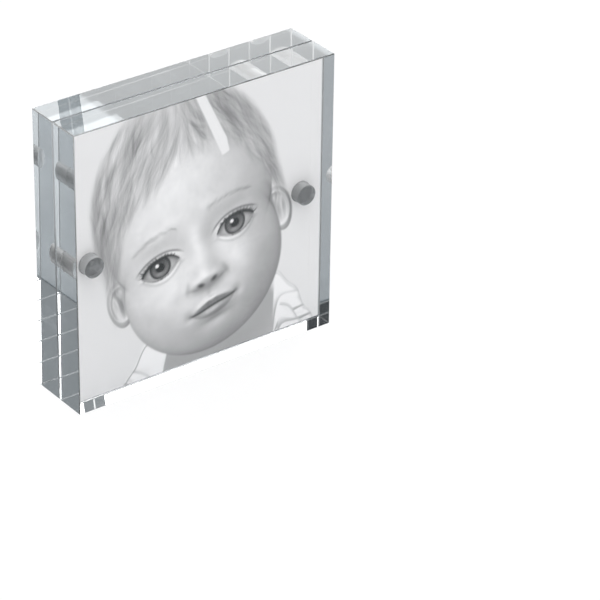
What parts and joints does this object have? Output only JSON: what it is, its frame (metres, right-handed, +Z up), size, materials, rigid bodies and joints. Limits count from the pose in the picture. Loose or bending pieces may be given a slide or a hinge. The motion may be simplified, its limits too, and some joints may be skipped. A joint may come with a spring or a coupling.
{
  "type": "acrylic block frame",
  "caption": "Free-standing clear acrylic picture frame: a front and a back block, drawn together by embedded magnets, clamp a square photo print between them.",
  "frame": {"origin": "middle of the footprint, on the surface that the frame stands on", "axes": "+Z up, +Y from the front block to the back block, +X to the right as seen from the front"},
  "size_m": [0.1, 0.0234, 0.1],
  "materials": {
    "clear_acrylic": "polished",
    "nickel_plating": "satin",
    "cured_adhesive": "satin",
    "photo_paper": "satin"
  },
  "bodies": {
    "back": {"back_block": "clear_acrylic", "back_left_magnet": "nickel_plating", "back_right_magnet": "nickel_plating", "back_left_adhesive": "cured_adhesive", "back_right_adhesive": "cured_adhesive"},
    "front": {"front_block": "clear_acrylic", "front_left_magnet": "nickel_plating", "front_right_magnet": "nickel_plating", "front_left_adhesive": "cured_adhesive", "front_right_adhesive": "cured_adhesive"},
    "print": {"photo_print": "photo_paper"}
  },
  "joints": [
    {"name": "front_pull", "type": "slide", "parent": "back", "child": "front", "axis": [0, -1, 0], "range_m": [0, 0.05]},
    {"name": "print_lift", "type": "slide", "parent": "back", "child": "print", "axis": [0, 0, 1], "range_m": [0, 0.105]}
  ]
}
